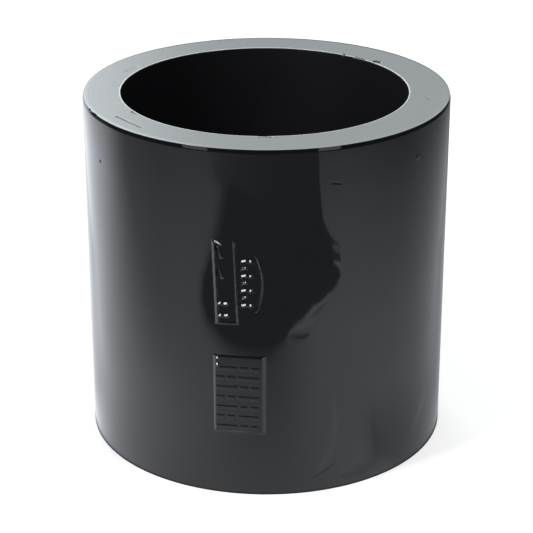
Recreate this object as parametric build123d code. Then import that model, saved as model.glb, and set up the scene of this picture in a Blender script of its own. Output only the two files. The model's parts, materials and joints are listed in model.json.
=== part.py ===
from build123d import *
from math import cos, floor, sin
import os

# Straight pipe coupling: one thick-walled moulded sleeve with a socket in each end.
# It stands on its lower end face. +Z runs up its axis, and the origin is the centre of that face.
# The moulded marks are on its front, which looks along -Y.
# Lengths are in millimetres and angles in degrees.

# Sockets and the stop ring between them
PIPE_DIAMETER = 63.0        # outside of the pipe that each socket takes
SOCKET_CLEARANCE = 0.2      # on the diameter
SOCKET_DEPTH = 37.5         # from an end face to the stop ring
STOP_WIDTH = 4.0            # along the axis
STOP_HEIGHT = 3.5           # into the bore
STOP_CHAMFER = 0.5

# Wall and end faces
WALL = 8.75                 # from the socket to the outside
RIM_ROUND = 0.45            # outer edge of each end face
MOUTH_ROUND = 0.35          # inner edge of each end face

# Marks: across is measured along the outside of the wall, from its front line
MARK_RISE = 0.4             # how far ticks, blocks and strokes stand out
LINE_RISE = 0.18            # how far thin lines stand out
THIN_LINE = 0.5
THIN_BAR = 0.5
BAR_THICKNESS = 0.7

# Upper frame, open at its head and tilted a little, with strokes above rows of blocks
UPPER_LEFT = -11.15
UPPER_WIDTH = 5.0
UPPER_HEIGHT = 18.8
UPPER_ABOVE_MIDDLE = 0.9
FRAME_TILT = 2.2
LEFT_LINE = 0.9
FOOT_LINE = 0.3
CORNER_LENGTH = 1.8         # stroke in the frame's upper left corner
CORNER_SLANT = -31.0
CORNER_INSET = 1.2
HATCH_ACROSS = -0.9
HATCH_LENGTH = 2.9
HATCH_PITCH = 4.5
HATCH_COUNT = 2
HATCH_SLANT = -74.5
HATCH_BELOW_HEAD = 2.8
BLOCK_WIDTH = 1.0
BLOCK_COLUMNS = 2
BLOCK_ROWS = 2
BLOCK_STEP = 1.4            # from one column to the next
BLOCK_PITCH = 2.7           # from one row to the next
BLOCK_SLANT = 6.0
BLOCK_INSET = 1.0           # from the frame's left side to the first block's middle
BLOCK_ABOVE_FOOT = 1.75

# Ladder of slanted ticks beside the upper frame, with dots and a curved rail
LADDER_GAP = 0.9            # from the upper frame to the ticks
LADDER_HEIGHT = 13.0
LADDER_ABOVE_MIDDLE = 3.7
TICK_LENGTH = 1.2
TICK_PITCH = 1.65
TICK_SLANTS = (14.0, 21.0)
DOT_LENGTH = 0.6            # of the dots, and of the strokes at the pad's head
DOT_GAP = 0.5               # from the ticks to the dots, and on to the rail's ends
RAIL_RADIUS = 15.3

# Flat lower pad, with rows of bars and strokes at its head
PAD_LEFT = -11.4
PAD_WIDTH = 10.5
PAD_HEIGHT = 18.0
PAD_BELOW_MIDDLE = 6.4
PAD_RISE = 0.2              # at its middle, and more at its sides, where the wall curves away
PAD_BAR_RISE = 0.06         # above the pad
PAD_MARGIN = 1.3            # from the pad's foot to the middle of the first row
PAD_HEAD = 2.6              # strip at the top of the pad without rows
ROW_PITCH = 2.3
LONG_BAR = 4.4
SHORT_BAR = 1.7
BAR_GAP = 0.6
STROKE_COUNT = 2
STROKE_INSET = 1.1          # from the pad's left side to the strokes' middles
STROKE_BELOW_HEAD = 0.7
STROKE_PITCH = 1.5
STROKE_SLANT = 14.0

SOCKET_RADIUS = (PIPE_DIAMETER + SOCKET_CLEARANCE) / 2
STOP_RADIUS = SOCKET_RADIUS - STOP_HEIGHT
OUTER_RADIUS = SOCKET_RADIUS + WALL
LENGTH = 2 * SOCKET_DEPTH + STOP_WIDTH
MIDDLE = LENGTH / 2
MARK_ROOT = WALL / 2


def corners(section, radius, heights):
    """The corners of the half section at one radius and at any of the heights."""
    near = section.vertices().filter_by_position(Axis.X, radius - 0.01, radius + 0.01)
    return [corner for corner in near if min(abs(corner.Y - height) for height in heights) < 0.01]


def sleeve():
    """The plain sleeve: wall, sockets and stop ring, turned from one half section."""
    stop_foot = SOCKET_DEPTH
    stop_head = SOCKET_DEPTH + STOP_WIDTH
    outline = Polyline(
        (OUTER_RADIUS, 0),
        (OUTER_RADIUS, LENGTH),
        (SOCKET_RADIUS, LENGTH),
        (SOCKET_RADIUS, stop_head),
        (STOP_RADIUS, stop_head),
        (STOP_RADIUS, stop_foot),
        (SOCKET_RADIUS, stop_foot),
        (SOCKET_RADIUS, 0),
        close=True,
    )
    section = make_face(outline)
    section = fillet(corners(section, OUTER_RADIUS, (0, LENGTH)), RIM_ROUND)
    section = fillet(corners(section, SOCKET_RADIUS, (0, LENGTH)), MOUTH_ROUND)
    section = chamfer(corners(section, STOP_RADIUS, (stop_foot, stop_head)), STOP_CHAMFER)
    return revolve(Plane.XZ * section, axis=Axis.Z)


def wall_plane(across, height):
    """The plane that touches the wall at a distance across and a height, with its Y upwards."""
    turn = across / OUTER_RADIUS
    outward = Vector(sin(turn), -cos(turn), 0)
    touch = outward * OUTER_RADIUS + Vector(0, 0, height)
    return Plane(origin=touch, x_dir=(cos(turn), sin(turn), 0), z_dir=outward)


def raised(outline, plane, rise):
    """A flat outline that stands out of the wall by its rise and is rooted in the wall."""
    return plane * Pos(0, 0, -MARK_ROOT) * extrude(outline, amount=MARK_ROOT + rise)


def column(outline, across, foot, count, pitch):
    """Copies of an outline, one above the other."""
    return [Pos(across, foot + index * pitch) * outline for index in range(count)]


def slanted(length, thickness, slant):
    """A straight bar at an angle."""
    return Rot(0, 0, slant) * Rectangle(length, thickness)


def upper_frame():
    """Upright frame with a stroke in its upper left corner, strokes below it and blocks at its foot."""
    left = -UPPER_WIDTH / 2
    head = UPPER_HEIGHT / 2
    lines = Pos(-left - THIN_LINE / 2, 0) * Rectangle(THIN_LINE, UPPER_HEIGHT)
    lines += Pos(0, FOOT_LINE / 2 - head) * Rectangle(UPPER_WIDTH, FOOT_LINE)
    marks = Pos(left + LEFT_LINE / 2, 0) * Rectangle(LEFT_LINE, UPPER_HEIGHT)
    hatch_foot = head - HATCH_BELOW_HEAD - HATCH_PITCH
    stroke = slanted(HATCH_LENGTH, THIN_BAR, HATCH_SLANT)
    marks += column(stroke, HATCH_ACROSS, hatch_foot, HATCH_COUNT, HATCH_PITCH)
    marks += Pos(left + CORNER_INSET, head - BAR_THICKNESS) * slanted(CORNER_LENGTH, THIN_BAR, CORNER_SLANT)
    block = slanted(BLOCK_WIDTH, THIN_BAR, BLOCK_SLANT)
    for step in range(BLOCK_COLUMNS):
        across = left + BLOCK_INSET + step * BLOCK_STEP
        marks += column(block, across, BLOCK_ABOVE_FOOT - head, BLOCK_ROWS, BLOCK_PITCH)
    plane = wall_plane(UPPER_LEFT - left, MIDDLE + UPPER_ABOVE_MIDDLE + head) * Rot(0, 0, FRAME_TILT)
    return raised(lines, plane, LINE_RISE) + raised(marks, plane, MARK_RISE)


def rail():
    """Part of a thin ring that bulges to the right, with the middle of its left side at the origin."""
    ring = Circle(RAIL_RADIUS + THIN_LINE) - Circle(RAIL_RADIUS)
    window = Pos(RAIL_RADIUS, 0) * Rectangle(RAIL_RADIUS, LADDER_HEIGHT)
    return Pos(-RAIL_RADIUS, 0) * (ring & window)


def ladder():
    """Ticks at two slants in turn, dots beside every second one, and the rail."""
    ticks = floor(LADDER_HEIGHT / TICK_PITCH)
    foot = -TICK_PITCH * (ticks - 1) / 2
    dot = slanted(DOT_LENGTH, THIN_BAR, TICK_SLANTS[0])
    dot_across = TICK_LENGTH / 2 + DOT_GAP + DOT_LENGTH / 2
    marks = Sketch() + column(dot, dot_across, foot, (ticks + 1) // 2, 2 * TICK_PITCH)
    for turn, slant in enumerate(TICK_SLANTS):
        tick = slanted(TICK_LENGTH, THIN_BAR, slant)
        marks += column(tick, 0, foot + turn * TICK_PITCH, (ticks + 1 - turn) // 2, 2 * TICK_PITCH)
    bulge = LADDER_HEIGHT ** 2 / (8 * RAIL_RADIUS)
    rail_across = dot_across + DOT_LENGTH / 2 + DOT_GAP + bulge
    across = UPPER_LEFT + UPPER_WIDTH + LADDER_GAP + TICK_LENGTH / 2
    plane = wall_plane(across, MIDDLE + LADDER_ABOVE_MIDDLE + LADDER_HEIGHT / 2)
    return raised(Pos(rail_across, 0) * rail(), plane, LINE_RISE) + raised(marks, plane, MARK_RISE)


def pad_bars():
    """Rows that each hold a long bar and two short ones, on the left and on the right in turn."""
    rows = floor((PAD_HEIGHT - PAD_HEAD - PAD_MARGIN) / ROW_PITCH) + 1
    foot = PAD_MARGIN - PAD_HEIGHT / 2
    long_across = -SHORT_BAR - BAR_GAP
    short_across = long_across + (LONG_BAR + SHORT_BAR) / 2 + BAR_GAP
    last_across = short_across + SHORT_BAR + BAR_GAP
    bars = Sketch()
    for turn, side in ((0, 1), (1, -1)):
        count = (rows + 1 - turn) // 2
        start = foot + turn * ROW_PITCH
        bars += column(Rectangle(LONG_BAR, BAR_THICKNESS), side * long_across, start, count, 2 * ROW_PITCH)
        for across in (short_across, last_across):
            bars += column(Rectangle(SHORT_BAR, BAR_THICKNESS), side * across, start, count, 2 * ROW_PITCH)
    return bars


def pad():
    """Flat pad with low bars and, at its head, strokes that stand out further."""
    half_width = PAD_WIDTH / 2
    half_height = PAD_HEIGHT / 2
    plane = wall_plane(PAD_LEFT + half_width, MIDDLE - PAD_BELOW_MIDDLE - half_height)
    stroke = slanted(DOT_LENGTH, THIN_BAR, STROKE_SLANT)
    stroke_foot = half_height - STROKE_BELOW_HEAD - (STROKE_COUNT - 1) * STROKE_PITCH
    strokes = Sketch() + column(stroke, STROKE_INSET - half_width, stroke_foot, STROKE_COUNT, STROKE_PITCH)
    face = raised(Rectangle(PAD_WIDTH, PAD_HEIGHT), plane, PAD_RISE)
    face += raised(pad_bars(), plane, PAD_RISE + PAD_BAR_RISE)
    return face + raised(strokes, plane, PAD_RISE + MARK_RISE)


os.makedirs("parts", exist_ok=True)
coupling_sleeve = sleeve() + upper_frame() + ladder() + pad()
export_step(coupling_sleeve, "parts/coupling_sleeve.step")
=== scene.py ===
import json
import math

import bpy
import numpy as np
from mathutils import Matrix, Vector


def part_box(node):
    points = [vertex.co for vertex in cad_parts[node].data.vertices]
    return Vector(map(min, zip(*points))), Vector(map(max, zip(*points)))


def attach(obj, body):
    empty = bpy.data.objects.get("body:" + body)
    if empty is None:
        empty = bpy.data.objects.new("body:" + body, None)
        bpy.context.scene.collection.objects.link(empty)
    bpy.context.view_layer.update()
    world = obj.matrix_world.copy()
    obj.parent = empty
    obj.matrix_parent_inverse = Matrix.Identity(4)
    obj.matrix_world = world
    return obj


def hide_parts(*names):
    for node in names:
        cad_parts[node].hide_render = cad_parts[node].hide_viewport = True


# Looks of the pipe coupling. The sleeve's mesh is worked out in millimetres and degrees and is
# written in metres. Round the sleeve, an angle of 0 is the front, -Y, and +90 is +X.

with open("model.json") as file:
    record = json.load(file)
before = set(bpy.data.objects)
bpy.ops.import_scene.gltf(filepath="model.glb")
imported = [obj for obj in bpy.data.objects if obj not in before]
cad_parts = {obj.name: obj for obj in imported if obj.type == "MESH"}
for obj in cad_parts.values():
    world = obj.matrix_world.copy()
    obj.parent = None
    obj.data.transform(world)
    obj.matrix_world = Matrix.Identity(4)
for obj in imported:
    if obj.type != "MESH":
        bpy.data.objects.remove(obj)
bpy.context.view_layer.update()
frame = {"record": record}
MM = 0.001

# Sizes from the frame
NODE = "coupling_sleeve"
NODE_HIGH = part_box(NODE)[1]
SOCKET = next(mount for mount in frame["record"]["mounts"] if mount["name"] == "upper_socket")
OUTER_RADIUS = NODE_HIGH[0] / MM
LENGTH = NODE_HIGH[2] / MM
SOCKET_RADIUS = SOCKET["dims"]["r_mm"]
MIDDLE = LENGTH / 2

# Sizes that the frame doesn't give
RIM_ACROSS = 0.2            # outer edge of the upper end face: along the face, and along the wall
RIM_ALONG = 1.0
ROLL_WIDTH = 0.9            # the upper end face falls away a little towards its outer edge
ROLL_DROP = 0.075
ROLL_POWER = 1.5
MOUTH_ACROSS = 0.2          # inner edge of an end face: along the face, and along the bore
MOUTH_ALONG = 0.3
MOUTH_LINE = 0.34           # width of the painted highlight line along the inner edge
BORE_SHIFT = -0.4           # the bore sits a little to the left of the outside
SHIFT_MARGIN = 1.0          # of the end faces, at each side, that keeps its place
STOP_HEIGHT = 3.5
STOP_CHAMFER = 0.5
FINE_ROUND = 0.12           # at corners that look sharp, and at the corners of marks
SOCKET_DEPTH = SOCKET["dims"]["length_mm"] + MOUTH_ALONG

# Mesh
COLUMNS = 256               # cells round the sleeve
CELL = 1.0                  # length of a cell along the wall
FACE_CELL = 0.55            # across the upper end face
INNER_CELL = 2.6            # inside the bore
FINE = 9                    # a refined cell is this many small cells each way
PROBES = 4                  # places tried along each side of a cell for relief in it
PLAIN_RELIEF = 0.015        # relief that a coarse cell can still show
SLOPE_STEP = 0.02           # distance over which slopes are measured

# Moulded marks, as in the frame: across is measured round the wall from the front
MARK_RISE = 0.4
MARK_EDGE = 0.42            # width of a mark's sloping side
STEEP_EDGE = 0.35
LOW_MARK = 0.45             # share of the rise that thin lines have
FAINT_MARK = 0.2
MARKS_RIGHT = 2.0           # nothing stands out beyond it
BAR_THICKNESS = 0.7
THIN_BAR = 0.5

# Upper frame, tilted a little, with strokes and blocks in it
UPPER_LEFT = -11.15
UPPER_WIDTH = 5.0
UPPER_HEIGHT = 18.8
UPPER_ABOVE_MIDDLE = 0.9
FRAME_TILT = 2.2
LEFT_LINE = (0.65, 0.1, 0.15)   # widths of its left side, top and right side
THIN_LINE = (0.3, 0.05, 0.15)
FOOT_LINE = 0.3
HATCH_LINE = (0.55, 0.1, 0.15)
HATCH_SHARE = 0.7           # of the rise
HATCH_ACROSS = -0.9
HATCH_LENGTH = 2.9
HATCH_PITCH = 4.5
HATCH_COUNT = 2
HATCH_SLANT = -74.5
HATCH_BELOW_HEAD = 2.8
CORNER_LENGTH = 1.8
CORNER_SLANT = -31.0
CORNER_INSET = 1.2
BLOCK_WIDTH = 1.0
BLOCK_COLUMNS = 2
BLOCK_ROWS = 2
BLOCK_PITCH = 2.7
BLOCK_STEP = 1.4
BLOCK_INSET = 1.0           # from the frame's left side to the first block's middle
BLOCK_ABOVE_FOOT = 1.75
BLOCK_SLANT = 6.0

# Ladder of slanted ticks, with dots and a curved rail
LADDER_GAP = 0.9
LADDER_HEIGHT = 13.0
LADDER_ABOVE_MIDDLE = 3.7
TICK_LENGTH = 1.2
TICK_PITCH = 1.65
TICK_SLANTS = (14.0, 21.0)
DOT_LENGTH = 0.6
DOT_GAP = 0.5
RAIL_RADIUS = 15.3

# Flat lower pad, with rows of bars
PAD_LEFT = -11.4
PAD_WIDTH = 10.5
PAD_HEIGHT = 18.0
PAD_BELOW_MIDDLE = 6.4
PAD_RISE = 0.2
PAD_LEFT_SLOPE = 0.62       # widths of the sloping sides
PAD_FOOT_SLOPE = 0.4
PAD_RIGHT_SLOPE = 0.8       # outside the pad's width
PAD_HEAD_SLOPE = 0.25
PAD_HEAD = 2.6              # strip at the top of the pad without rows
PAD_MARGIN = 1.3            # from the pad's foot to the middle of the first row
ROW_PITCH = 2.3
LONG_BAR = 4.4
SHORT_BAR = 1.7
BAR_GAP = 0.6
PAD_BAR_RISE = 0.06
PAD_BAR_EDGE = 0.32
STROKE_COUNT = 2            # strokes at the pad's head, on its left
STROKE_INSET = 1.1
STROKE_BELOW_HEAD = 0.7
STROKE_PITCH = 1.5
STROKE_SLANT = 14.0

# Waves of the wall: rise, turns round the sleeve, length along the axis, start
WAVES = [(0.006, 5, 61.0, 0.4), (0.004, 9, 37.0, 2.1), (0.0025, 16, 23.0, 4.4)]
WAVE_MARGIN = 6.0           # from an end, over which they fade


def smooth(share):
    """An even step from 0 to 1."""
    share = np.clip(share, 0.0, 1.0)
    return share * share * (3.0 - 2.0 * share)


# Half section

def section_corners():
    """Corners round the half section: radius, height, round across and along, steps, cell after it."""
    stop_radius = SOCKET_RADIUS - STOP_HEIGHT
    low = SOCKET_DEPTH
    high = LENGTH - SOCKET_DEPTH
    fine = (FINE_ROUND, FINE_ROUND, 2)
    mouth = (MOUTH_ACROSS, MOUTH_ALONG, 6)
    return [
        (OUTER_RADIUS, 0.0, *fine, CELL),
        (OUTER_RADIUS, LENGTH, RIM_ACROSS, RIM_ALONG, 12, FACE_CELL),
        (SOCKET_RADIUS, LENGTH, *mouth, INNER_CELL),
        (SOCKET_RADIUS, high, *fine, CELL),
        (stop_radius + STOP_CHAMFER, high, *fine, CELL),
        (stop_radius, high - STOP_CHAMFER, *fine, CELL),
        (stop_radius, low + STOP_CHAMFER, *fine, CELL),
        (stop_radius + STOP_CHAMFER, low, *fine, CELL),
        (SOCKET_RADIUS, low, *fine, INNER_CELL),
        (SOCKET_RADIUS, 0.0, *mouth, CELL),
    ]


def turned(vector, angle):
    """A plane vector turned by an angle in radians."""
    c, s = math.cos(angle), math.sin(angle)
    return np.array([c * vector[0] - s * vector[1], s * vector[0] + c * vector[1]])


def corner_arc(before, here, after):
    """Points and outward normals of the arc, round or oval, that rounds one corner."""
    place = np.array(here[:2])
    oval = np.array(here[2:4])
    way_in = (place - np.array(before[:2])) / oval
    way_out = (np.array(after[:2]) - place) / oval
    way_in /= np.linalg.norm(way_in)
    way_out /= np.linalg.norm(way_out)
    turn = math.atan2(way_in[0] * way_out[1] - way_in[1] * way_out[0], way_in @ way_out)
    start = place / oval - way_in * math.tan(abs(turn) / 2)
    centre = start + turned(way_in, math.copysign(math.pi / 2, turn))
    normal = np.array([way_in[1], -way_in[0]])
    angles = [turn * step / here[4] for step in range(here[4] + 1)]
    points = [(centre + turned(start - centre, a)) * oval for a in angles]
    normals = [turned(normal, a) / oval for a in angles]
    return points, [normal / np.linalg.norm(normal) for normal in normals]


def half_section():
    """Points and outward normals round the whole half section."""
    corners = section_corners()
    count = len(corners)
    arcs = [corner_arc(corners[k - 1], corners[k], corners[(k + 1) % count]) for k in range(count)]
    points, normals = [], []
    for index, (arc, arc_normals) in enumerate(arcs):
        points += arc
        normals += arc_normals
        run = arcs[(index + 1) % count][0][0] - arc[-1]
        cells = max(1, round(float(np.linalg.norm(run)) / corners[index][5]))
        for step in range(1, cells):
            points.append(arc[-1] + run * step / cells)
            normals.append(arc_normals[-1])
    return np.array(points), np.array(normals)


# Marks

def turned_back(x, y, angle):
    """Coordinates along and square to a line at an angle in degrees."""
    c, s = math.cos(math.radians(angle)), math.sin(math.radians(angle))
    return x * c + y * s, y * c - x * s


def bar_share(x, y, width, height, edge=MARK_EDGE, slant=0.0):
    """1 on a bar and 0 off it, with even sloping sides of the given width."""
    along, aside = turned_back(x, y, slant)
    corner = min(FINE_ROUND, width / 2, height / 2)
    over_x = np.abs(along) - width / 2 + corner
    over_y = np.abs(aside) - height / 2 + corner
    outside = np.hypot(np.maximum(over_x, 0), np.maximum(over_y, 0))
    outside += np.minimum(np.maximum(over_x, over_y), 0) - corner
    return np.clip(0.5 - outside / edge, 0.0, 1.0)


def ridge_share(x, y, widths, height):
    """1 along an upright ridge's top and 0 off it: x runs from the foot of its left side."""
    left, top, right = widths
    sides = [x / left, (left + top + right - x) / right, (height / 2 - np.abs(y)) / MARK_EDGE]
    return np.clip(np.minimum.reduce(sides), 0.0, 1.0)


def plane_over_wall(across, centre, rise):
    """How far a flat plate, square to the radius at its centre, stands out of the round wall."""
    return (OUTER_RADIUS + rise) / np.cos((across - centre) / OUTER_RADIUS) - OUTER_RADIUS


def widest(shares):
    """The largest of several shares at each point."""
    return np.maximum.reduce(list(shares))


def column_share(x, y, across, foot, count, pitch, width, height, edge=MARK_EDGE, slant=0.0):
    """Bars of one size, one above the other."""
    places = [foot + step * pitch for step in range(count)]
    return widest(bar_share(x - across, y - place, width, height, edge, slant) for place in places)


def hatch_share(x, y):
    """One steep stroke, light on its long left slope."""
    aside, along = turned_back(x, y, 90 + HATCH_SLANT)
    return ridge_share(aside + sum(HATCH_LINE) / 2, along, HATCH_LINE, HATCH_LENGTH) * HATCH_SHARE


def upper_frame_rise(across, height):
    """Upright frame, open at its head, with strokes above two rows of blocks."""
    centre = UPPER_LEFT + UPPER_WIDTH / 2
    x, y = turned_back(across - centre, height - MIDDLE - UPPER_ABOVE_MIDDLE - UPPER_HEIGHT / 2, FRAME_TILT)
    half_width, half_height = UPPER_WIDTH / 2, UPPER_HEIGHT / 2
    shares = [
        ridge_share(x + half_width, y, LEFT_LINE, UPPER_HEIGHT),
        ridge_share(x - half_width + sum(THIN_LINE), y, THIN_LINE, UPPER_HEIGHT) * LOW_MARK,
        bar_share(x, y + half_height - FOOT_LINE / 2, UPPER_WIDTH, FOOT_LINE) * FAINT_MARK,
        bar_share(x + half_width - CORNER_INSET, y - half_height + BAR_THICKNESS, CORNER_LENGTH, THIN_BAR,
                  STEEP_EDGE, CORNER_SLANT),
    ]
    for step in range(HATCH_COUNT):
        place = half_height - HATCH_BELOW_HEAD - step * HATCH_PITCH
        shares.append(hatch_share(x - HATCH_ACROSS, y - place))
    for step in range(BLOCK_COLUMNS):
        place = BLOCK_INSET - half_width + step * BLOCK_STEP
        shares.append(column_share(x, y, place, BLOCK_ABOVE_FOOT - half_height, BLOCK_ROWS, BLOCK_PITCH,
                                   BLOCK_WIDTH, THIN_BAR, slant=BLOCK_SLANT))
    return widest(shares) * plane_over_wall(across, centre, MARK_RISE)


def ladder_rise(across, height):
    """Ticks at two slants in turn, dots beside every second one, and a curved rail."""
    centre = UPPER_LEFT + UPPER_WIDTH + LADDER_GAP + TICK_LENGTH / 2
    x = across - centre
    y = height - (MIDDLE + LADDER_ABOVE_MIDDLE + LADDER_HEIGHT / 2)
    ticks = math.floor(LADDER_HEIGHT / TICK_PITCH)
    foot = -TICK_PITCH * (ticks - 1) / 2
    dot_across = TICK_LENGTH / 2 + DOT_GAP + DOT_LENGTH / 2
    rail_across = dot_across + DOT_LENGTH / 2 + DOT_GAP + LADDER_HEIGHT ** 2 / (8 * RAIL_RADIUS)
    from_rail = np.hypot(x - rail_across + RAIL_RADIUS, y) - RAIL_RADIUS
    shares = [ridge_share(from_rail, y, THIN_LINE, LADDER_HEIGHT) * LOW_MARK]
    for turn, slant in enumerate(TICK_SLANTS):
        count = (ticks + 1 - turn) // 2
        start = foot + turn * TICK_PITCH
        shares.append(column_share(x, y, 0, start, count, 2 * TICK_PITCH, TICK_LENGTH, THIN_BAR,
                                   slant=slant))
    shares.append(column_share(x, y, dot_across, foot, (ticks + 1) // 2, 2 * TICK_PITCH, DOT_LENGTH,
                               THIN_BAR, slant=TICK_SLANTS[0]))
    return widest(shares) * plane_over_wall(across, centre, MARK_RISE)


def pad_bars(x, y):
    """Rows that each hold a long bar and two short ones, on the left and on the right in turn."""
    rows = math.floor((PAD_HEIGHT - PAD_HEAD - PAD_MARGIN) / ROW_PITCH) + 1
    foot = PAD_MARGIN - PAD_HEIGHT / 2
    long_across = -SHORT_BAR - BAR_GAP
    short_across = long_across + (LONG_BAR + SHORT_BAR) / 2 + BAR_GAP
    last_across = short_across + SHORT_BAR + BAR_GAP
    shares = []
    for turn, side in ((0, 1), (1, -1)):
        start = foot + turn * ROW_PITCH
        count = (rows + 1 - turn) // 2
        for place, length in ((long_across, LONG_BAR), (short_across, SHORT_BAR), (last_across, SHORT_BAR)):
            shares.append(column_share(x, y, place * side, start, count, 2 * ROW_PITCH, length,
                                       BAR_THICKNESS, PAD_BAR_EDGE))
    return widest(shares)


def pad_rise(across, height):
    """Flat pad with a sloping head and right side, rows of bars on it and two strokes at its head."""
    centre = PAD_LEFT + PAD_WIDTH / 2
    x = across - centre
    y = height - (MIDDLE - PAD_BELOW_MIDDLE - PAD_HEIGHT / 2)
    half_width, half_height = PAD_WIDTH / 2, PAD_HEIGHT / 2
    sides = [
        (x + half_width) / PAD_LEFT_SLOPE,
        (half_width + PAD_RIGHT_SLOPE - x) / PAD_RIGHT_SLOPE,
        (y + half_height) / PAD_FOOT_SLOPE,
        (half_height - y) / PAD_HEAD_SLOPE,
    ]
    plate = np.clip(np.minimum.reduce(sides), 0.0, 1.0) * plane_over_wall(across, centre, PAD_RISE)
    stroke_foot = half_height - STROKE_BELOW_HEAD - (STROKE_COUNT - 1) * STROKE_PITCH
    strokes = column_share(x, y, STROKE_INSET - half_width, stroke_foot, STROKE_COUNT, STROKE_PITCH,
                           DOT_LENGTH, THIN_BAR, slant=STROKE_SLANT)
    return plate + pad_bars(x, y) * PAD_BAR_RISE + strokes * MARK_RISE


def mark_relief(points):
    """How far the marks stand out at points on the outside of the wall."""
    across = np.arctan2(points[:, 0], -points[:, 1]) * OUTER_RADIUS
    radius = np.hypot(points[:, 0], points[:, 1])
    relief = np.zeros(len(points))
    near = (across > PAD_LEFT - 1) & (across < MARKS_RIGHT) & (radius > OUTER_RADIUS - 0.1)
    a, h = across[near], points[near, 2]
    relief[near] = widest((upper_frame_rise(a, h), ladder_rise(a, h), pad_rise(a, h)))
    return relief


# Wear: places as (radius, angle, height), half width, rise

def on_wall(*places):
    """Places on the outside of the wall, from angles and heights."""
    return [(OUTER_RADIUS, angle, height) for angle, height in places]


def on_top(*places):
    """Places on the upper end face, from radii and angles."""
    return [(radius, angle, LENGTH) for radius, angle in places]


WEAR = [
    (on_wall((18.2, 71.4), (22.0, 70.8)), 0.3, -0.05),
    (on_wall((51.7, 72.0)), 0.9, 0.06),
    (on_wall((-60.9, 69.3)), 0.5, -0.14),
    (on_top((37.0, -58.5), (37.1, -44.5)), 0.4, -0.12),
    (on_top((32.7, -60.5), (32.8, -57.5)), 0.45, -0.14),
    (on_top((32.1, -2.2), (32.1, 1.4)), 0.55, -0.3),
    (on_top((31.5, 145.0)), 0.8, -0.25),
    (on_top((31.3, 139.0), (31.3, 134.5)), 0.7, -0.3),
    (on_top((32.3, 129.5), (32.7, 127.5)), 0.8, -0.25),
    (on_top((35.2, 80.8), (35.8, 78.6)), 0.6, -0.08),
    (on_top((33.8, -119.0), (34.4, -113.0)), 0.7, -0.05),
    (on_top((OUTER_RADIUS, -69.8), (OUTER_RADIUS, -68.8)), 0.4, -0.13),
    (on_top((OUTER_RADIUS, -65.5), (OUTER_RADIUS, -63.0)), 0.45, -0.12),
]


def in_space(place):
    """The point at a radius, angle and height."""
    radius, angle, height = place
    turn = math.radians(angle)
    return np.array([radius * math.sin(turn), -radius * math.cos(turn), height])


def path_distance(points, path):
    """Distance from points to a line through places, or to one place."""
    ends = [in_space(place) for place in path]
    nearest = np.linalg.norm(points - ends[0], axis=1)
    for start, end in zip(ends, ends[1:]):
        run = end - start
        share = np.clip((points - start) @ run / (run @ run), 0.0, 1.0)
        nearest = np.minimum(nearest, np.linalg.norm(points - start - share[:, None] * run, axis=1))
    return nearest


def wear_relief(points):
    """Dents, scratches and nicks."""
    relief = np.zeros(len(points))
    for path, half_width, rise in WEAR:
        relief += rise * smooth(1 - path_distance(points, path) / half_width)
    return relief


def detail_relief(points):
    """Marks and wear."""
    return mark_relief(points) + wear_relief(points)


def roll_relief(points):
    """How far the upper end face falls away near its outer edge."""
    share = (np.hypot(points[:, 0], points[:, 1]) - OUTER_RADIUS + ROLL_WIDTH) / ROLL_WIDTH
    drop = ROLL_DROP * np.clip(share, 0.0, 1.0) ** ROLL_POWER
    return -drop * smooth(1 - (LENGTH - points[:, 2]) / RIM_ALONG)


def wave_relief(points):
    """The slight waves of a thick moulded wall, which bend its reflections."""
    turn = np.arctan2(points[:, 0], -points[:, 1])
    relief = np.zeros(len(points))
    for rise, turns, length, start in WAVES:
        relief += rise * np.sin(turns * turn + start + 2 * math.pi * points[:, 2] / length)
    ends = smooth(points[:, 2] / WAVE_MARGIN) * smooth((LENGTH - points[:, 2]) / WAVE_MARGIN)
    return (relief - sum(wave[0] for wave in WAVES)) * ends


def surface_relief(points):
    """How far the surface stands off the plain turned form, along its normal."""
    return detail_relief(points) + wave_relief(points) + roll_relief(points)


# Mesh

def place_mesh(name, places, faces, material):
    """A new object from points and faces, with its material."""
    mesh = bpy.data.meshes.new(name)
    mesh.from_pydata(places, [], faces)
    mesh.materials.append(material)
    piece = bpy.data.objects.new(name, mesh)
    bpy.context.collection.objects.link(piece)
    return piece


def surface_point(angle, level, section):
    """Points on the plain turned form at angles and at levels along the section."""
    count = len(section)
    low = np.floor(level).astype(int)
    part = (level - low)[:, None]
    flat = section[low % count] * (1 - part) + section[(low + 1) % count] * part
    width = OUTER_RADIUS - SOCKET_RADIUS - 2 * SHIFT_MARGIN
    inside = np.clip((OUTER_RADIUS - SHIFT_MARGIN - flat[:, 0]) / width, 0.0, 1.0)
    across = flat[:, 0] * np.sin(angle) + BORE_SHIFT * inside
    return np.stack([across, -flat[:, 0] * np.cos(angle), flat[:, 1]], axis=1)


def refined_cells(section):
    """Which cells of the coarse net hold more relief than they can show."""
    count = len(section)
    level, angle = np.meshgrid(np.arange(count * PROBES) / PROBES,
                               np.arange(COLUMNS * PROBES) * 2 * math.pi / (COLUMNS * PROBES), indexing="ij")
    relief = detail_relief(surface_point(angle.ravel(), level.ravel(), section)).reshape(level.shape)
    highest, lowest = relief, relief
    for axis in (0, 1):
        near = [(np.roll(highest, -step, axis), np.roll(lowest, -step, axis)) for step in range(PROBES + 1)]
        highest = np.maximum.reduce([pair[0] for pair in near])
        lowest = np.minimum.reduce([pair[1] for pair in near])
    return (highest - lowest)[::PROBES, ::PROBES] > PLAIN_RELIEF


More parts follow.
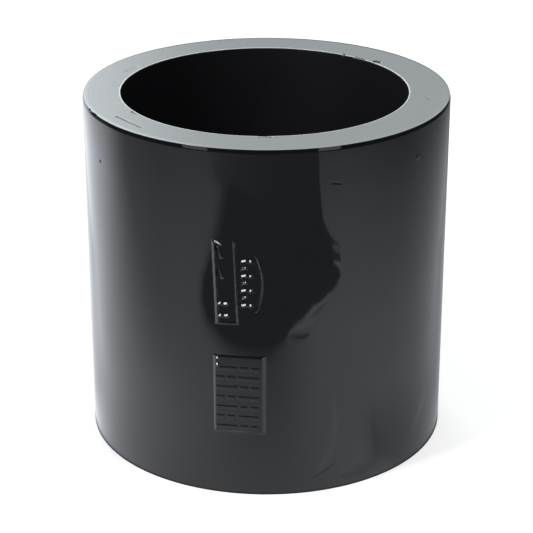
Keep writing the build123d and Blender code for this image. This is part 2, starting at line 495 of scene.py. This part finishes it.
def sleeve_net(mask):
    """Vertex keys and faces of the net, with refined cells joined to coarse ones by fans."""
    rows, columns = mask.shape
    keys, faces, fans = {}, [], {}

    def key(i, j):
        name = (i % (rows * FINE), j % (columns * FINE))
        return keys.setdefault(name, len(keys))

    for i in range(rows):
        for j in range(columns):
            top, left = i * FINE, j * FINE
            if mask[i, j]:
                for a in range(FINE):
                    for b in range(FINE):
                        y, x = top + a, left + b
                        faces.append((key(y, x), key(y, x + 1), key(y + 1, x + 1), key(y + 1, x)))
                continue
            steps = [FINE if mask[(i + di) % rows, (j + dj) % columns] else 1
                     for di, dj in ((-1, 0), (0, 1), (1, 0), (0, -1))]
            ring = [key(top, left + FINE * s // steps[0]) for s in range(steps[0])]
            ring += [key(top + FINE * s // steps[1], left + FINE) for s in range(steps[1])]
            ring += [key(top + FINE, left + FINE - FINE * s // steps[2]) for s in range(steps[2])]
            ring += [key(top + FINE - FINE * s // steps[3], left) for s in range(steps[3])]
            if len(ring) == 4:
                faces.append(tuple(ring))
            else:
                fans[(i, j)] = ring
    return keys, faces, fans


def sleeve_surface(angle, level, section, section_normals):
    """Points and normals of the surface with its relief."""
    count = len(section)
    low = np.floor(level).astype(int)
    part = (level - low)[:, None]
    tilt = section_normals[low % count] * (1 - part) + section_normals[(low + 1) % count] * part
    tilt /= np.linalg.norm(tilt, axis=1)[:, None]
    points = surface_point(angle, level, section)
    s, c = np.sin(angle), np.cos(angle)
    normals = np.stack([tilt[:, 0] * s, -tilt[:, 0] * c, tilt[:, 1]], axis=1)
    around = np.stack([c, s, np.zeros_like(s)], axis=1)
    along = np.cross(normals, around)
    shaded = normals.copy()
    for way in (around, along):
        rise = surface_relief(points + way * SLOPE_STEP) - surface_relief(points - way * SLOPE_STEP)
        shaded -= way * (rise / (2 * SLOPE_STEP))[:, None]
    shaded /= np.linalg.norm(shaded, axis=1)[:, None]
    return points + normals * surface_relief(points)[:, None], shaded


def make_sleeve():
    """The whole moulded sleeve as one closed mesh."""
    section, section_normals = half_section()
    keys, faces, fans = sleeve_net(refined_cells(section))
    cell_angle = 2 * math.pi / COLUMNS
    level = [name[0] / FINE for name in keys]
    angle = [name[1] / FINE * cell_angle for name in keys]
    for (i, j), ring in fans.items():
        centre = len(level)
        level.append(i + 0.5)
        angle.append((j + 0.5) * cell_angle)
        faces += [(ring[k], ring[(k + 1) % len(ring)], centre) for k in range(len(ring))]
    points, normals = sleeve_surface(np.array(angle), np.array(level), section, section_normals)
    piece = place_mesh("moulded_sleeve", (points * MM).tolist(), faces, black_plastic())
    piece.data.update()
    piece.data.shade_smooth()
    piece.data.normals_split_custom_set_from_vertices(normals.tolist())
    return piece


# Materials

class Tree:
    """A node tree, with short ways to add nodes whose inputs are numbers or other outputs."""

    def __init__(self, owner):
        owner.use_nodes = True
        self.nodes = owner.node_tree.nodes
        self.links = owner.node_tree.links
        self.nodes.clear()

    def add(self, kind, **settings):
        node = self.nodes.new(kind)
        for name, value in settings.items():
            setattr(node, name, value)
        return node

    def feed(self, socket, value):
        if isinstance(value, bpy.types.NodeSocket):
            self.links.new(value, socket)
        else:
            socket.default_value = value

    def math(self, operation, *values):
        node = self.add("ShaderNodeMath", operation=operation)
        for socket, value in zip(node.inputs, values):
            self.feed(socket, value)
        return node.outputs[0]

    def times(self, first, *others):
        """The product of several values."""
        for value in others:
            first = self.math("MULTIPLY", first, value)
        return first

    def between(self, share, low, high):
        """A number between two, by a share from 0 to 1."""
        return self.math("MULTIPLY_ADD", share, self.math("SUBTRACT", high, low), low)

    def dimmed(self, value, share):
        """A value made smaller by a share of itself."""
        return self.math("MULTIPLY", value, self.math("SUBTRACT", 1.0, share))

    def step(self, value, start, end, low=0.0, high=1.0):
        """An even step from low to high as a value goes from start to end."""
        node = self.add("ShaderNodeMapRange", interpolation_type="SMOOTHSTEP")
        for name, number in (("Value", value), ("From Min", start), ("From Max", end), ("To Min", low),
                             ("To Max", high)):
            self.feed(node.inputs[name], number)
        return node.outputs["Result"]

    def place(self, kind="Object"):
        """The coordinates of a point: x, y and z."""
        split = self.add("ShaderNodeSeparateXYZ")
        self.feed(split.inputs[0], self.add("ShaderNodeTexCoord").outputs[kind])
        return list(split.outputs)

    def length(self, x, y):
        return self.math("SQRT", self.math("MULTIPLY_ADD", x, x, self.math("MULTIPLY", y, y)))

    def noise(self, x, y, z, detail=2.0):
        """Noise from 0 to 1 at coordinates that are already scaled."""
        joined = self.add("ShaderNodeCombineXYZ")
        for socket, value in zip(joined.inputs, (x, y, z)):
            self.feed(socket, value)
        node = self.add("ShaderNodeTexNoise")
        self.feed(node.inputs["Vector"], joined.outputs[0])
        node.inputs["Scale"].default_value = 1.0
        node.inputs["Detail"].default_value = detail
        return node.outputs["Fac"]

    def scaled_noise(self, place, scales, detail=2.0):
        """Noise whose grain is 1 / scale metres long each way."""
        scaled = [self.math("MULTIPLY", value, scale) for value, scale in zip(place, scales)]
        return self.noise(*scaled, detail)

    def blend(self, share, first, second):
        """A colour between two, by a share from 0 to 1."""
        node = self.add("ShaderNodeMix", data_type="RGBA")
        self.feed(node.inputs["Factor"], share)
        self.feed(node.inputs["A"], (*first, 1) if isinstance(first, tuple) else first)
        self.feed(node.inputs["B"], (*second, 1) if isinstance(second, tuple) else second)
        return node.outputs["Result"]

    def glow(self, strength, colour=(1.0, 1.0, 1.0)):
        node = self.add("ShaderNodeEmission")
        node.inputs["Color"].default_value = (*colour, 1)
        self.feed(node.inputs["Strength"], strength)
        return node.outputs[0]

    def mix(self, share, first, second):
        """A shader between two, by a share from 0 to 1."""
        node = self.add("ShaderNodeMixShader")
        for socket, value in zip(node.inputs, (share, first, second)):
            self.feed(socket, value)
        return node.outputs[0]

    def finish(self, shader, kind="ShaderNodeOutputMaterial"):
        self.feed(self.add(kind).inputs["Surface"], shader)


DARK = (0.0068, 0.0073, 0.0080)
DARK_LIGHTER = (0.0088, 0.0094, 0.0103)
# Bore colours: the right one is lighter, painted light on the bore's right side
BORE_LEFT = (0.0075, 0.0080, 0.0095)
BORE_PAINTED_LIGHT = (0.0175, 0.0180, 0.0200)
ORANGE_PEEL = 280.0         # grains in a metre
WALL_ROUGHNESS = 0.045
FACE_ROUGHNESS = 0.2
BORE_ROUGHNESS = 0.3
# Painted highlight: a pale grey line round the mouth of the bore
PAINTED_HIGHLIGHT_GREY = (0.55, 0.55, 0.55)
PEEL_DEPTH = 0.000004
FACE_DEPTH = 0.2            # millimetres from an end over which the duller look reaches
FACE_EDGE = 0.06            # millimetres on both sides over which it fades
BORE_EDGE = 0.12            # millimetres outside the bore's wall over which its look fades
LINE_EDGE = 0.03            # half width in millimetres of the fade along the painted highlight line
BACK_EDGE = 0.95            # width in millimetres of the painted dark line along the back of the upper edge
BACK_SHINE_LOSS = 0.48      # of the usual level of 0.5


def plastic_areas(tree, x, y, z, radius):
    """Shares of the upper end, of both end faces, of the bore and of the painted highlight line round its
    mouth.
    """
    high, low = (LENGTH - FACE_DEPTH) * MM, FACE_DEPTH * MM
    edge = FACE_EDGE * MM
    upper = tree.step(z, high - edge, high + edge)
    face = tree.math("ADD", upper, tree.step(z, low - edge, low + edge, 1.0, 0.0))
    rim = (OUTER_RADIUS - RIM_ACROSS) * MM
    face = tree.times(face, tree.step(radius, rim - edge, rim + edge, 1.0, 0.0))
    from_axis = tree.length(tree.math("SUBTRACT", x, BORE_SHIFT * MM), y)
    from_bore = tree.math("SUBTRACT", from_axis, SOCKET_RADIUS * MM)
    bore = tree.step(from_bore, 0.0, BORE_EDGE * MM, 1.0, 0.0)
    line_end = tree.step(from_bore, (MOUTH_LINE - LINE_EDGE) * MM, (MOUTH_LINE + LINE_EDGE) * MM, 1.0, 0.0)
    painted_highlight_line = tree.times(upper, tree.step(from_bore, 0.02 * MM, 0.08 * MM), line_end)
    return upper, face, bore, painted_highlight_line


def specular_level(tree, x, y, upper):
    """The usual level, but less on a thin line along the back of the upper edge: a painted dark line."""
    across = tree.math("SUBTRACT", (OUTER_RADIUS * MM) ** 2, tree.math("MULTIPLY", x, x))
    to_back = tree.math("SUBTRACT", tree.math("SQRT", tree.math("MAXIMUM", across, 0.0)), y)
    line = tree.step(to_back, BACK_EDGE * MM, 0.7 * BACK_EDGE * MM)
    # Painted shade: a dark line of less shine along the back of the upper edge
    painted_dark_line = tree.times(upper, tree.step(y, 0.0, 0.02), line)
    return tree.math("MULTIPLY_ADD", painted_dark_line, -BACK_SHINE_LOSS, 0.5)


def black_plastic():
    """Black moulded plastic: glossy walls, duller end faces with turning marks, and a matt bore; with
    painted light on the bore's right side, a painted highlight line round the mouth and a painted dark line
    along the back of the upper edge.
    """
    material = bpy.data.materials.new("black_plastic")
    tree = Tree(material)
    x, y, z = place = tree.place()
    radius = tree.length(x, y)
    upper, face, bore, painted_highlight_line = plastic_areas(tree, x, y, z, radius)

    cloudy = tree.scaled_noise(place, (60.0, 60.0, 45.0), 3.0)
    side_x, side_y = tree.math("DIVIDE", x, radius), tree.math("DIVIDE", y, radius)
    rings = tree.noise(tree.math("MULTIPLY", radius, 1400.0), tree.math("MULTIPLY", side_x, 2.5),
                       tree.math("MULTIPLY", side_y, 2.5), 3.0)
    drag = tree.scaled_noise(place, (1500.0, 1500.0, 35.0), 2.0)
    scuffs = tree.step(drag, 0.66, 0.74)

    wall_roughness = tree.math("MULTIPLY_ADD", cloudy, 0.03, WALL_ROUGHNESS - 0.015)
    wall_roughness = tree.math("MULTIPLY_ADD", scuffs, 0.03, wall_roughness)
    face_roughness = tree.math("MULTIPLY_ADD", rings, 0.12, FACE_ROUGHNESS - 0.06)
    roughness = tree.between(face, wall_roughness, face_roughness)
    roughness = tree.between(bore, roughness, BORE_ROUGHNESS)

    peel = tree.scaled_noise(place, (ORANGE_PEEL, ORANGE_PEEL, ORANGE_PEEL), 1.0)
    height = tree.math("MULTIPLY_ADD", tree.math("MULTIPLY", face, rings), 0.35, peel)
    height = tree.math("MULTIPLY_ADD", scuffs, -0.08, height)
    bump = tree.add("ShaderNodeBump")
    bump.inputs["Strength"].default_value = 1.0
    bump.inputs["Distance"].default_value = PEEL_DEPTH
    tree.feed(bump.inputs["Height"], height)

    shader = tree.add("ShaderNodeBsdfPrincipled")
    shader.inputs["IOR"].default_value = 1.5
    tree.feed(shader.inputs["Specular IOR Level"], specular_level(tree, x, y, upper))
    # Painted light: the bore's colour turns lighter towards its right side
    bore_colour_with_painted_light = tree.blend(tree.step(x, -0.022, 0.014), BORE_LEFT, BORE_PAINTED_LIGHT)
    colour = tree.blend(bore, tree.blend(cloudy, DARK, DARK_LIGHTER), bore_colour_with_painted_light)
    # Painted highlight line round the mouth, in pale grey
    tree.feed(shader.inputs["Base Color"], tree.blend(painted_highlight_line, colour, PAINTED_HIGHLIGHT_GREY))
    tree.feed(shader.inputs["Roughness"], roughness)
    tree.feed(shader.inputs["Normal"], bump.outputs[0])
    tree.finish(shader.outputs[0])
    return material


# Studio

FLOOR_PAINT = 0.6
FLOOR_GLOW = 0.64           # what brings the floor to white for the camera
COOL = (0.965, 1.0, 1.06)


def seen_straight(tree):
    """1 for what the camera sees, straight or through something clear, and 0 for other light."""
    path = tree.add("ShaderNodeLightPath").outputs
    return tree.math("MAXIMUM", path["Is Camera Ray"], path["Is Transmission Ray"]), path["Is Glossy Ray"]


def open_floor_painted_light(tree, x, y, radius, bearing):
    """Painted light of the open floor: it falls with distance, and a painted pool of light brightens the
    left.
    """
    near = tree.math("EXPONENT", tree.math("MULTIPLY_ADD", radius, -33.0, 1.65))
    near = tree.times(near, tree.step(bearing, math.radians(15), math.radians(90), 0.0, 0.45))
    left = tree.math("MULTIPLY_ADD", radius, -2.2, 1.21)
    left = tree.times(left, tree.step(bearing, math.radians(42), math.radians(66), 1.0, 0.86))
    right = tree.math("MULTIPLY_ADD", tree.math("MAXIMUM", radius, 0.115), -3.6, 1.514)
    right = tree.math("SUBTRACT", right, tree.step(bearing, math.radians(40), math.radians(95), 0.0, 0.34))
    base = tree.between(tree.step(x, 0.02, -0.02), right, tree.math("ADD", left, near))
    slanted = tree.math("MULTIPLY_ADD", x, 0.433, y)
    # Painted pool of light on the left
    painted_light_pool = tree.times(tree.step(slanted, -0.120, 0.006), tree.step(x, -0.02, -0.075))
    return tree.between(painted_light_pool, tree.math("MAXIMUM", base, 0.3), tree.step(radius, 0.20, 0.30, 1.98, 1.45))


def floor_painted_light_and_shade(tree):
    """Painted light and shade of the white floor as the gloss shows it: painted shadow near the sleeve,
    painted shade in front of it and far away.
    """
    x, y, _ = tree.place()
    radius = tree.length(x, y)
    aside = tree.math("ABSOLUTE", x)
    bearing = tree.math("ARCTAN2", aside, tree.math("MULTIPLY", y, -1.0))
    strength = open_floor_painted_light(tree, x, y, radius, bearing)
    # Painted shade in front of the sleeve
    depth = tree.math("MINIMUM", tree.math("MULTIPLY_ADD", radius, 5.0, -0.05), 0.55)
    painted_shade_ahead = tree.step(bearing, math.radians(30), math.radians(2))
    strength = tree.dimmed(strength, tree.times(depth, painted_shade_ahead))
    # Painted shadow near the sleeve's foot on its right
    right = tree.times(tree.step(bearing, math.radians(38), math.radians(52)),
                       tree.step(bearing, math.radians(60), math.radians(110), 1.0, 0.2),
                       tree.step(x, -0.01, 0.01))
    strength = tree.dimmed(strength, tree.times(right, tree.step(radius, 0.085, 0.045, 0.0, 0.38)))
    # Painted shadow of the sleeve on the floor behind it
    behind = tree.math("MULTIPLY", tree.math("MINIMUM", y, 0.08), 0.6)
    behind = tree.math("SUBTRACT", behind, aside)
    behind = tree.times(tree.step(behind, -0.066, -0.040, 0.0, 0.34), tree.step(y, -0.012, 0.012))
    strength = tree.dimmed(strength, behind)
    # Painted shade far out and towards the back, and a painted contact shadow round the foot
    edge = tree.times(tree.step(radius, 0.20, 0.27, 1.0, 0.86), tree.step(radius, 0.0404, 0.0415, 0.3, 1.0),
                      tree.step(bearing, math.radians(138), math.radians(158), 1.0, 0.85))
    # Painted shade: the floor far in front is dark
    beside = tree.math("MAXIMUM", tree.math("MULTIPLY", x, -0.82), tree.math("MULTIPLY", x, 1.5))
    far = tree.between(tree.step(tree.math("SUBTRACT", y, beside), 0.0, 0.06),
                       tree.step(radius, 0.27, 0.42, 1.0, 0.12), 1.0)
    return tree.times(strength, edge, far)


def make_floor():
    """A wide flat white floor, which glows with painted light and shade in reflections."""
    half = 3.0
    places = [(-half, -half, 0), (half, -half, 0), (half, half, 0), (-half, half, 0)]
    material = bpy.data.materials.new("white_floor")
    tree = Tree(material)
    straight, glossy = seen_straight(tree)
    paint = tree.add("ShaderNodeBsdfDiffuse")
    paint.inputs["Color"].default_value = (FLOOR_PAINT, FLOOR_PAINT, FLOOR_PAINT, 1)
    plain = tree.add("ShaderNodeAddShader")
    tree.feed(plain.inputs[0], paint.outputs[0])
    tree.feed(plain.inputs[1], tree.glow(tree.math("MULTIPLY", straight, FLOOR_GLOW)))
    # In reflections the floor glows with painted light and shade
    tree.finish(tree.mix(glossy, plain.outputs[0], tree.glow(floor_painted_light_and_shade(tree), COOL)))
    place_mesh("floor", places, [(0, 1, 2, 3)], material)


# Dark card on the floor in front, which shows only in reflections: a painted dark reflection with a faint
# glow. Each point of its outline has its place and the width of the soft edge outside it, in millimetres
CARD_OUTLINE = [
    (-150, -330, 30), (-140, -224, 34), (-112, -209, 26), (-93, -207, 24), (-88, -196, 26), (-86, -180, 26),
    (-86, -160, 20), (-86, -144, 13), (-85, -126, 13), (-79, -116, 12), (-67, -110, 14), (-52, -110, 16),
    (-36, -110, 18), (-18, -112, 18), (4, -114, 16), (17, -117, 10), (26, -120, 3), (35, -123, 2),
    (48, -123, 2), (57, -124, 2), (76, -119, 1.5), (85, -117, 1.5), (94, -116, 1), (100.5, -116, 1),
    (101.5, -120.5, 0.8), (99.7, -126, 0.6), (97.4, -131.3, 0.4), (100.4, -129.2, 0.5), (106.2, -123.3, 0.8),
    (109, -124.3, 0.8), (110.5, -126.3, 0.8), (110, -129.5, 0.8), (108, -132.6, 0.6), (104.9, -137, 0.6),
    (103.3, -141, 0.4), (106.2, -141.3, 0.5), (110.2, -137.7, 0.6), (112.3, -134, 0.6), (114.1, -131.2, 0.6),
    (113.8, -134, 0.8), (112.5, -137.5, 0.8), (109.7, -142.7, 1), (106.9, -148.1, 1.5), (104, -158, 2),
    (103, -169, 2), (117, -208, 3), (125, -227, 3), (150, -330, 10),
]
CARD_GLOW = 0.185

# Streaks near it, painted light and dark streaks in the reflections: glow, greatest share, and a path of
# places with half widths in millimetres
STREAKS = [
    (3.0, 1.0, [(98.5, -130.5, 0.5), (101.2, -127, 1.1), (103.7, -123, 1.1), (105.5, -120, 0.5)]),
    (2.0, 1.0, [(82, -116, 0.5), (79, -118, 0.9), (70, -119.5, 1.1), (61, -120.5, 1.2), (52, -121, 1.2),
                (45, -121, 0.8)]),
    (1.3, 1.1, [(55, -115, 1.5), (50, -116, 3.4), (44, -117, 4.2), (37, -118, 4.0), (30, -119, 3.0),
                (24, -118, 1.5)]),
    (CARD_GLOW, 1.4, [(72, -115, 0.5), (66, -116.5, 1.0), (60, -117.5, 1.0), (54, -118, 0.5)]),
    (CARD_GLOW, 1.5, [(26, -116, 1.2), (32, -114, 2.0), (39, -111, 2.2), (45, -110, 1.0)]),
    (CARD_GLOW, 0.5, [(55, -42, 0.6), (48.3, -40.8, 1.8), (43.6, -38, 3.4), (39, -36, 5),
                      (33.5, -34.5, 6.5), (28, -34.5, 6), (23, -36.5, 4), (19, -39, 1.5)]),
    (1.4, 0.75, [(44, -68, 2), (37, -60, 3.4), (30, -53.3, 3.8), (24, -49.3, 3.4), (19.5, -47.3, 2.4),
                 (15, -45, 0.8)]),
    (1.4, 0.6, [(30, -40.2, 0.6), (26, -39.8, 1.0), (22, -39.8, 1.0), (19, -40.5, 0.4)]),
    (CARD_GLOW, 0.7, [(13, -43.5, 0.4), (16, -44, 0.7), (19, -44.5, 0.7), (22, -45, 0.3)]),
    (1.4, 0.4, [(56, -4, 1.6), (52, -10, 2.6), (47, -16, 2.2), (42, -20, 0.8)]),
]


def way_through(before, here, after):
    """The direction of a line at one of its points."""
    here = Vector(here[:2])
    way = (here - Vector(before[:2])).normalized() + (Vector(after[:2]) - here).normalized()
    return way.normalized()


def card_sheet():
    """Places of the card, with share and glow, and its faces: the middle and the soft edge."""
    count = len(CARD_OUTLINE)
    inner = [(x, y, 1.0, CARD_GLOW) for x, y, _ in CARD_OUTLINE]
    outer = []
    for index, (x, y, width) in enumerate(CARD_OUTLINE):
        way = way_through(CARD_OUTLINE[index - 1], (x, y), CARD_OUTLINE[(index + 1) % count])
        outer.append((x - way.y * width, y + way.x * width, 0.0, CARD_GLOW))
    sides = [(k, (k + 1) % count, (k + 1) % count + count, k + count) for k in range(count)]
    return inner + outer, [tuple(range(count))] + sides


def streak_sheet(glow, share, path):
    """Places and faces of one streak, which fades out on both sides of its path."""
    places, faces = [], []
    for index, (x, y, width) in enumerate(path):
        way = way_through(path[max(index - 1, 0)], (x, y), path[min(index + 1, len(path) - 1)])
        side = Vector((-way.y, way.x)) * width
        places += [(x + side.x, y + side.y, 0.0, glow), (x, y, share, glow),
                   (x - side.x, y - side.y, 0.0, glow)]
    for first in range(0, len(places) - 3, 3):
        faces += [(first, first + 1, first + 4, first + 3), (first + 1, first + 2, first + 5, first + 4)]
    return places, faces


FADE_START = -0.15          # metres to the left, where the card starts to turn pale
FADE_LENGTH = 0.05
FADE_GLOW = 0.45


def painted_reflection_glow():
    """A painted reflection: a glow that shows only in reflections, by its mesh's share and glow, and fades
    far on the left.
    """
    material = bpy.data.materials.new("reflected_card")
    tree = Tree(material)
    x, y, _ = tree.place()
    fade = tree.math("EXPONENT", tree.math("MULTIPLY_ADD", x, -1 / FADE_LENGTH, FADE_START / FADE_LENGTH))
    aside = tree.times(tree.step(x, -0.078, -0.084, 0.0, FADE_GLOW), tree.step(y, -0.150, -0.165))
    beyond = tree.math("MAXIMUM", tree.step(y, -0.213, -0.222, 0.0, FADE_GLOW), aside)
    share = tree.add("ShaderNodeAttribute", attribute_name="share").outputs["Fac"]
    glow = tree.add("ShaderNodeAttribute", attribute_name="glow").outputs["Fac"]
    clear = tree.add("ShaderNodeBsdfTransparent").outputs[0]
    bright = tree.glow(tree.math("MULTIPLY_ADD", fade, beyond, glow), COOL)
    tree.finish(tree.mix(tree.times(share, share), clear, bright))
    return material


def keep_to_gloss(sheet):
    """Set up a sheet that neither the camera nor diffuse light meets, and that casts no shadow."""
    sheet.visible_camera = False
    sheet.visible_diffuse = False
    sheet.visible_shadow = False


def make_sheet(name, form, height, material):
    """A flat sheet from places with share and glow, which only the gloss shows."""
    places, faces = form
    sheet = place_mesh(name, [(x * MM, y * MM, height) for x, y, _, _ in places], faces, material)
    for index, kind in ((2, "share"), (3, "glow")):
        values = sheet.data.attributes.new(kind, "FLOAT", "POINT").data
        values.foreach_set("value", [place[index] for place in places])
    keep_to_gloss(sheet)


def make_painted_reflections():
    """The dark card and the streaks near it: painted reflections, seen only in the gloss."""
    material = painted_reflection_glow()
    make_sheet("dark_card", card_sheet(), 0.0003, material)
    for index, streak in enumerate(STREAKS):
        make_sheet(f"streak_{index}", streak_sheet(*streak), 0.0004 + index * 0.00002, material)


# Glow of the sheets that paint highlights in reflections
SIDE_GLOW = 1.2


def make_panel():
    """Large soft panel behind the sleeve, brighter on its left."""
    places = [(-0.5, 1.3, 0.1), (0.45, 1.3, 0.1), (0.45, 1.0, 1.1), (-0.5, 1.0, 1.1)]
    material = bpy.data.materials.new("soft_panel")
    tree = Tree(material)
    x, _, z = tree.place()
    strength = tree.times(tree.step(x, -0.24, -0.03, 4.7, 2.35), tree.step(z, 0.2, 0.75, 0.3, 1.25),
                          tree.step(z, 0.1, 0.3, 0.2, 1.0))
    tree.finish(tree.glow(strength, (0.93, 1.0, 1.03)))
    panel = place_mesh("soft_panel", places, [(0, 1, 2, 3)], material)
    panel.visible_camera = False


def make_painted_highlight_sheet(name, side, edges):
    """Tall pale sheet beside the camera, which only the gloss shows, for painted highlights on the upper
    rim: edges as (bearing, bearing, height).
    """
    places = []
    for inner, outer, height in edges:
        for bearing in (inner, outer):
            turn = side * math.radians(bearing)
            places.append((math.sin(turn), -math.cos(turn), height))
    material = bpy.data.materials.new(name)
    tree = Tree(material)
    tree.finish(tree.glow(SIDE_GLOW))
    keep_to_gloss(place_mesh(name, places, [(0, 1, 3, 2), (2, 3, 5, 4)], material))


def make_world():
    """White to the camera; in reflections a pale wall behind, a dark room in front; and soft light."""
    world = bpy.data.worlds.new("studio")
    bpy.context.scene.world = world
    tree = Tree(world)
    straight, glossy = seen_straight(tree)
    aside, depth, height = tree.place("Generated")
    walls = tree.times(tree.step(height, 0.02, 0.14), tree.step(height, 0.5, 0.75, 0.75, 0.0))
    slanted = tree.math("MULTIPLY_ADD", aside, -0.25, tree.math("MULTIPLY_ADD", height, -0.2, depth))
    behind = tree.step(slanted, 0.95, 0.97)
    room = tree.step(depth, -0.6, 0.0, 0.02, 0.07)
    room = tree.math("MULTIPLY_ADD", tree.math("ADD", walls, 0.05), behind, room)
    soft = tree.add("ShaderNodeBackground")
    tree.feed(soft.inputs["Strength"], tree.between(glossy, 0.4, room))
    white = tree.add("ShaderNodeBackground")
    white.inputs["Color"].default_value = (1, 1, 1, 1)
    tree.finish(tree.mix(straight, soft.outputs[0], white.outputs[0]), "ShaderNodeOutputWorld")


def make_strip(name, place, width, height, power):
    """An upright strip lamp that looks at the sleeve."""
    data = bpy.data.lights.new(name, "AREA")
    data.shape = "RECTANGLE"
    data.size = width
    data.size_y = height
    data.energy = power
    lamp = bpy.data.objects.new(name, data)
    lamp.location = place
    lamp.rotation_euler = (Vector((0, 0, MIDDLE * MM)) - Vector(place)).to_track_quat("-Z", "Y").to_euler()
    lamp.visible_camera = False
    bpy.context.collection.objects.link(lamp)


def make_camera():
    """The photograph's camera, which looks down on the sleeve."""
    data = bpy.data.cameras.new("camera")
    data.lens = 125.4
    data.sensor_width = 36.0
    camera = bpy.data.objects.new("camera", data)
    camera.location = (0.0, -0.3906, 0.2035)
    camera.rotation_euler = (math.radians(90 - 23.15), 0, 0)
    bpy.context.collection.objects.link(camera)
    bpy.context.scene.camera = camera


sleeve = make_sleeve()
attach(sleeve, "root")
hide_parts(NODE)

make_floor()
make_painted_reflections()
make_panel()
make_painted_highlight_sheet("left_sheet", -1, [(34, 49.5, 0.0), (36, 52, 0.59), (48, 65, 1.36)])
make_painted_highlight_sheet("right_sheet", 1, [(30, 43, 0.0), (32, 46, 0.59), (43, 59, 1.36)])
make_world()
make_strip("left_strip", (-0.50, -0.37, 0.82), 0.12, 0.5, 3.6)
make_strip("right_strip", (0.44, -0.42, 0.84), 0.14, 0.4, 2.0)
make_camera()
bpy.context.scene.view_settings.view_transform = "Standard"
